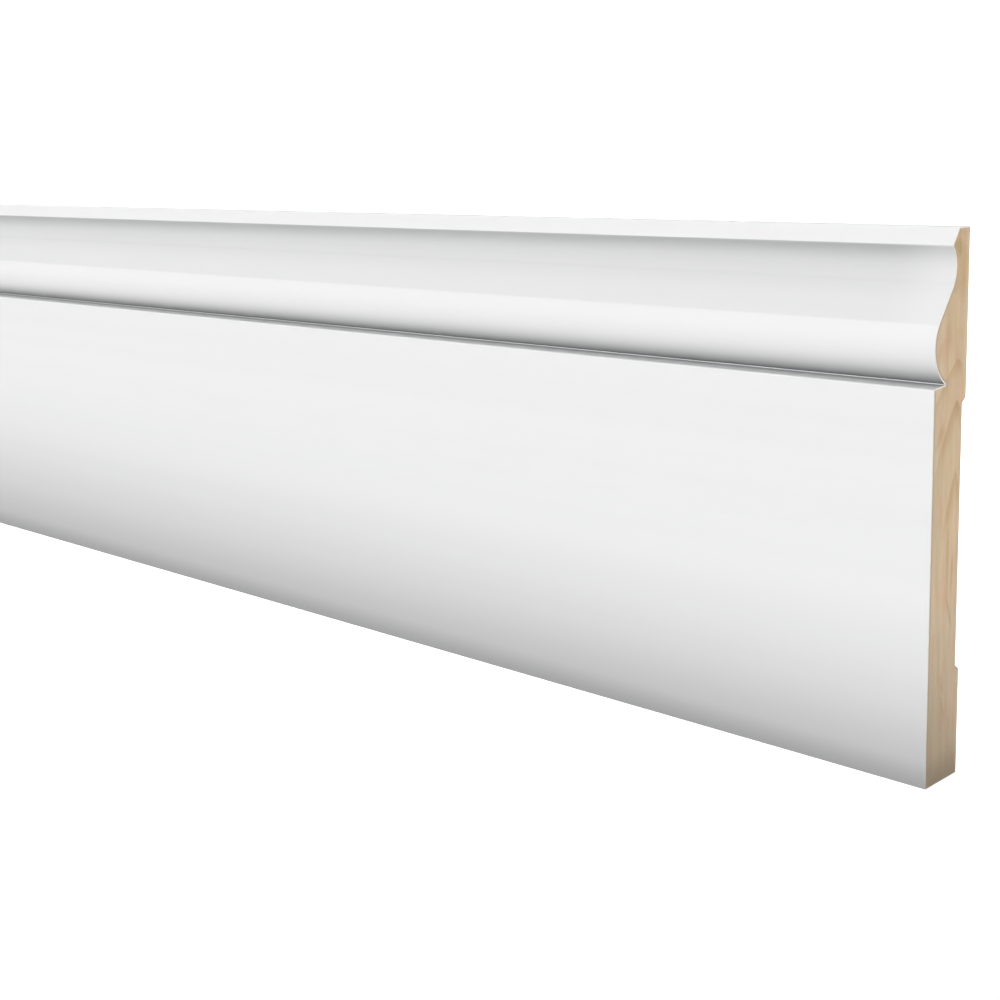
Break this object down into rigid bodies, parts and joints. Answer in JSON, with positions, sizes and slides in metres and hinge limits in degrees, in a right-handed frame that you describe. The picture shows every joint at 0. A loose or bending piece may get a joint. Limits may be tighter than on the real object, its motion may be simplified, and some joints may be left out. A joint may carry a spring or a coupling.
{
  "type": "skirting board length",
  "caption": "Straight skirting board, primed white, with a lipped cove, a bead and a quirk along its top edge and a ploughed back.",
  "frame": {"origin": "under the middle of the board's length and height, in the plane of the lands on its back", "axes": "+X along the length, +Y from the floor edge to the moulded top edge, +Z from the wall to the face; the board lies on its back"},
  "size_m": [2.4384, 0.1334, 0.0143],
  "materials": {
    "primed_pine": "satin white primer on the face and both long edges, bare pine on the back and the sawn ends"
  },
  "bodies": {
    "root": {"skirting_board": "primed_pine"}
  },
  "joints": []
}
